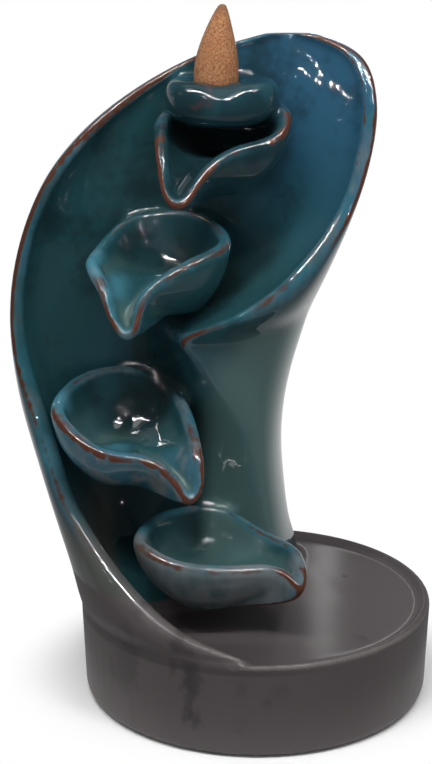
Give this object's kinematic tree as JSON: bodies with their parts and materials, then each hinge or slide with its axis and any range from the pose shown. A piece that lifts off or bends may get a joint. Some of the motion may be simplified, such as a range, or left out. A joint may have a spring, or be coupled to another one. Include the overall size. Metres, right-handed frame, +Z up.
{
  "type": "backflow incense burner",
  "caption": "Ceramic waterfall burner: a hollow leaf-shaped hood on a round base, with stepped leaf cups and a seat for an incense cone.",
  "frame": {"origin": "centre of the bounding box's bottom face, on the table the foot ring stands on", "axes": "+Z up, +X to the right and +Y to the back, seen from the side with the cups, which faces -Y"},
  "size_m": [0.1401, 0.1192, 0.232],
  "materials": {
    "glazed_ceramic": "glossy teal glaze, orange-brown where it breaks on the rims; the round base is bare matte dark brown clay",
    "incense": "matte, pressed wood and incense powder, tan"
  },
  "bodies": {
    "root": {"burner": "glazed_ceramic", "incense_cone": "incense"}
  },
  "joints": []
}
